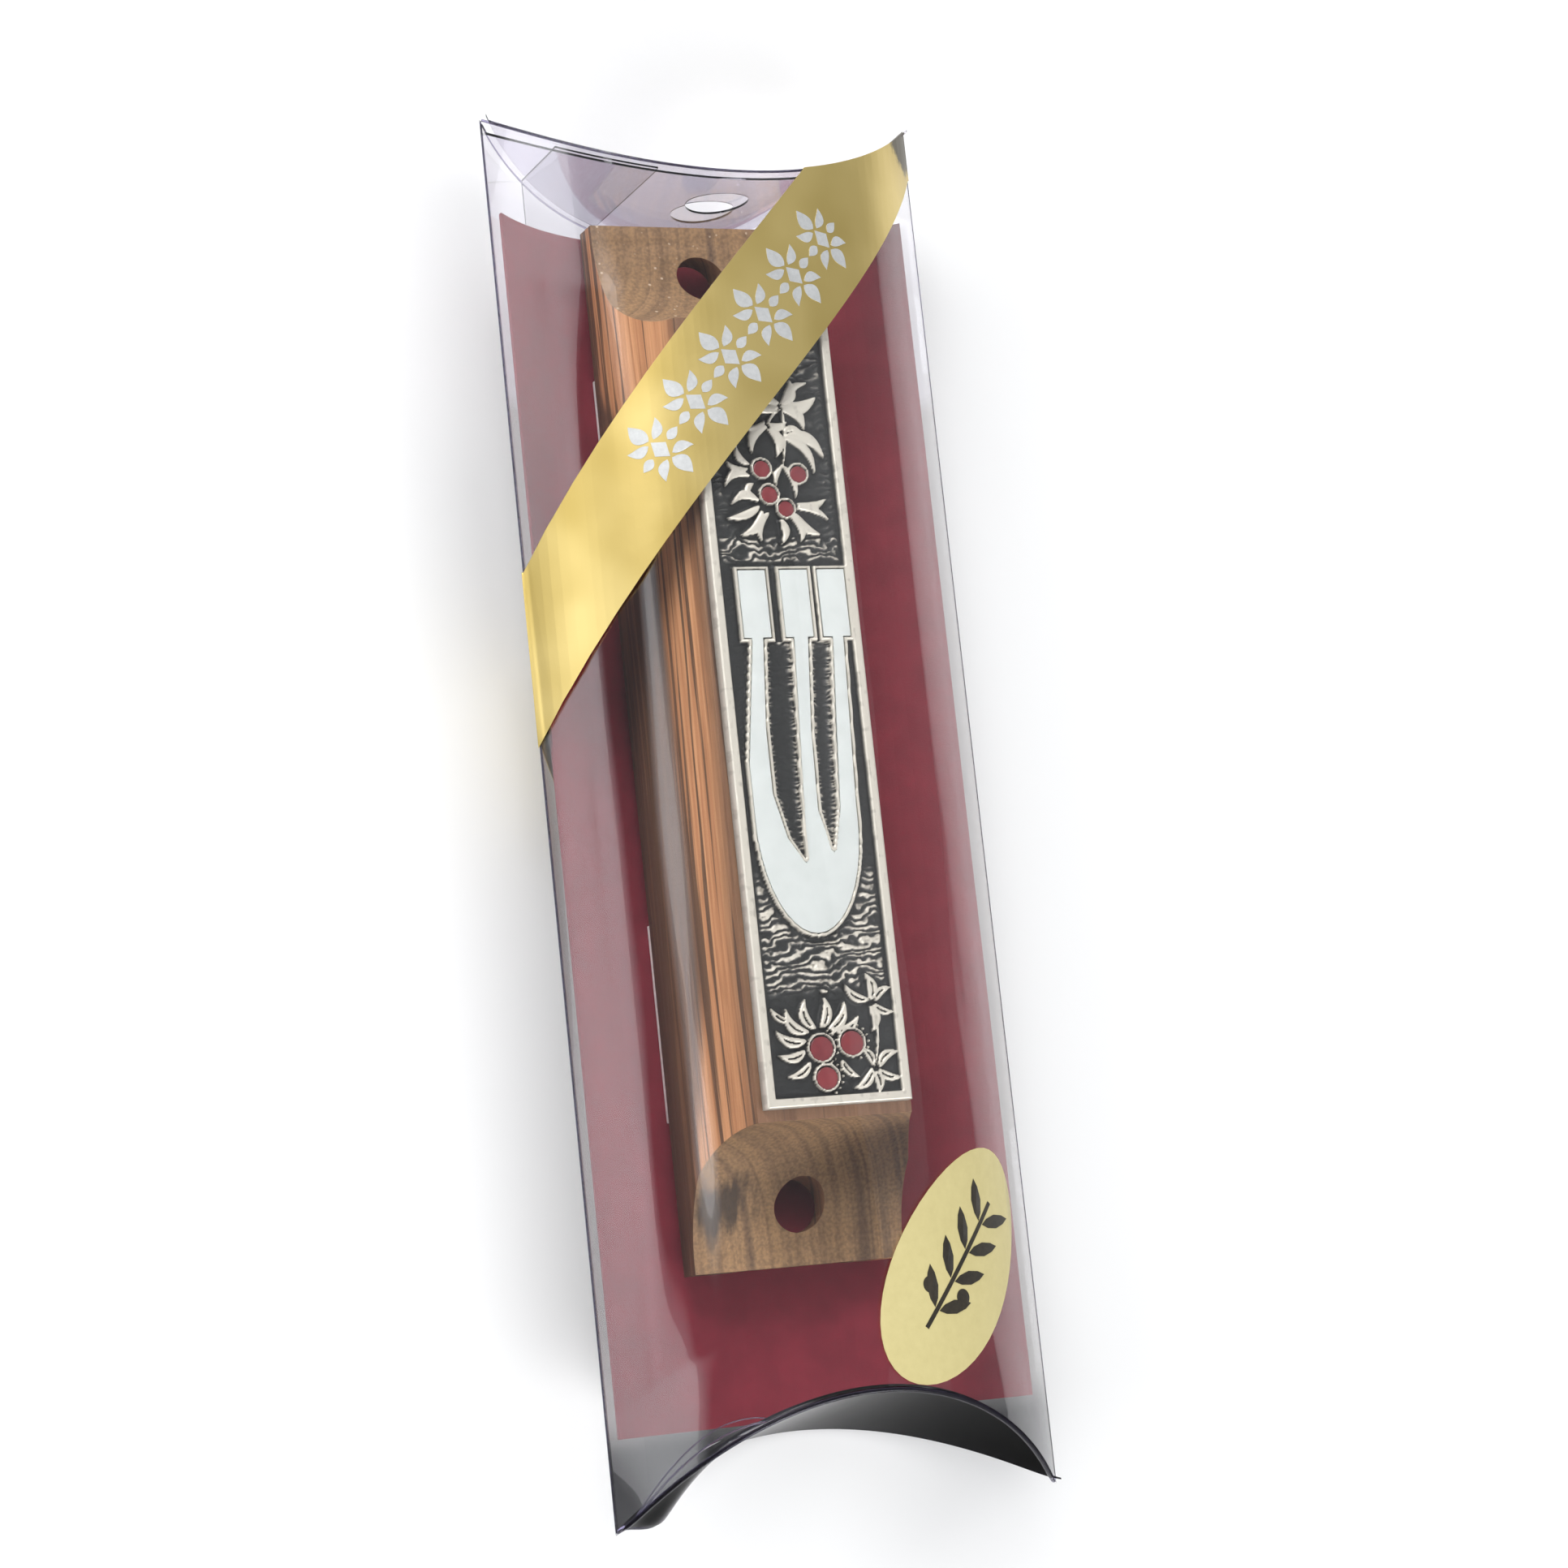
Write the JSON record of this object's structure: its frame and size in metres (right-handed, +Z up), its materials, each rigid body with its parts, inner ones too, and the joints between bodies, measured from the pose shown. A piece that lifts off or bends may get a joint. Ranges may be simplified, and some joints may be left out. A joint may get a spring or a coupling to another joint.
{
  "type": "mezuzah case in pillow pack",
  "caption": "Olive-wood mezuzah case with an enamelled pewter plate, taped to a burgundy card in a clear pillow pack with a gold seal band and an oval sticker.",
  "frame": {"origin": "middle of the pack's footprint, on the surface it lies on", "axes": "+X across the pack to the right as the plate is read, +Y along the pack towards its hanging end, +Z up, out of the front"},
  "size_m": [0.0524, 0.1559, 0.0255],
  "materials": {
    "film": "clear folded PVC film",
    "gold_foil": "satin gold foil tape",
    "silver_print": "matt silver print",
    "sticker_paper": "smooth pale gold label paper",
    "sticker_ink": "dark brown ink",
    "card": "matt burgundy card",
    "foam": "white foam tape",
    "olive_wood": "sanded and oiled olive wood",
    "parchment": "rolled parchment paper",
    "adhesive": "clear contact adhesive",
    "pewter": "cast pewter, dark in the ground and rubbed bright on the relief",
    "white_enamel": "glossy cold enamel",
    "red_enamel": "glossy cold enamel"
  },
  "bodies": {
    "sleeve": {"front_panel": "film", "back_panel": "film", "seam_tab": "film", "top_flap_front": "film", "top_flap_back": "film", "seal_band": "gold_foil", "band_ornament": "silver_print", "oval_sticker": "sticker_paper", "sticker_print": "sticker_ink"},
    "tray": {"insert_card": "card", "card_pads": "foam", "wood_body": "olive_wood", "scroll": "parchment", "plate_adhesive": "adhesive", "metal_plate": "pewter", "shin_enamel": "white_enamel", "upper_fruit_enamel": "red_enamel", "lower_fruit_enamel": "red_enamel"},
    "cover": {"back_cover": "olive_wood"},
    "front_flap": {"bottom_flap_front": "film"},
    "back_flap": {"bottom_flap_back": "film"}
  },
  "joints": [
    {"name": "tray_slide", "type": "slide", "parent": "sleeve", "child": "tray", "axis": [0, -1, 0], "range_m": [0, 0.15]},
    {"name": "cover_slide", "type": "slide", "parent": "tray", "child": "cover", "axis": [0, -1, 0], "range_m": [0, 0.105]},
    {"name": "front_flap_hinge", "type": "hinge", "parent": "sleeve", "child": "front_flap", "pos_m": [0, -0.0682, 0.0226], "axis": [-1, 0, 0], "range_deg": [0, 110], "deforming": ["bottom_flap_front"]},
    {"name": "back_flap_hinge", "type": "hinge", "parent": "sleeve", "child": "back_flap", "pos_m": [0, -0.071, 0.0025], "axis": [1, 0, 0], "range_deg": [0, 90], "deforming": ["bottom_flap_back"]}
  ]
}
